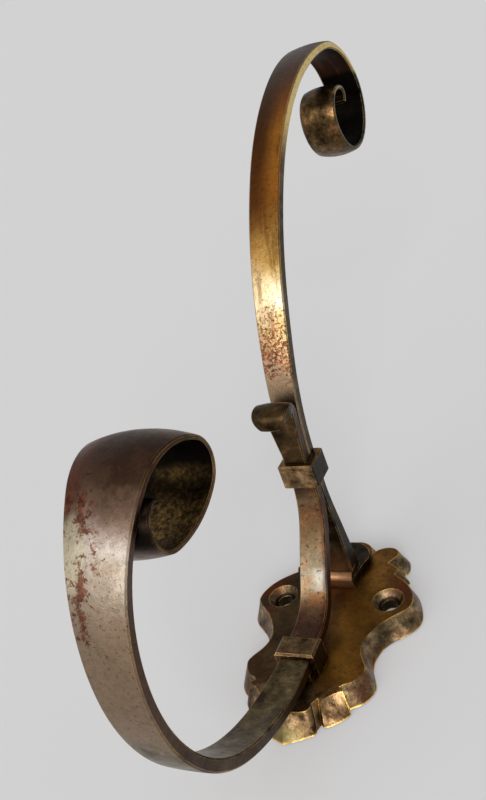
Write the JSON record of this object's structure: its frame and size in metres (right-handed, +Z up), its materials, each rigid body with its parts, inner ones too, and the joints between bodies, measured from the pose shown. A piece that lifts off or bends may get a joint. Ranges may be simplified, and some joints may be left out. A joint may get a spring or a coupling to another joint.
{
  "type": "coat hook",
  "caption": "Double coat hook: a lobed cast wall plate with two forged flat arms that end in scrolls, bound by a collar and a staple.",
  "frame": {"origin": "on the wall, midway between the two screw holes of the plate", "axes": "+X along the wall, +Y into the wall so that the arms stand out along -Y, +Z up"},
  "size_m": [0.047, 0.1271, 0.1828],
  "materials": {
    "plate": "aged, pitted",
    "upper_arm": "worn, spotted with rust",
    "lower_arm": "worn, spotted with rust",
    "bindings": "dark, aged"
  },
  "bodies": {
    "root": {"back_plate": "plate", "upper_arm": "upper_arm", "lower_arm": "lower_arm", "collar": "bindings", "staple": "bindings", "foot_screw": "bindings"}
  },
  "joints": []
}
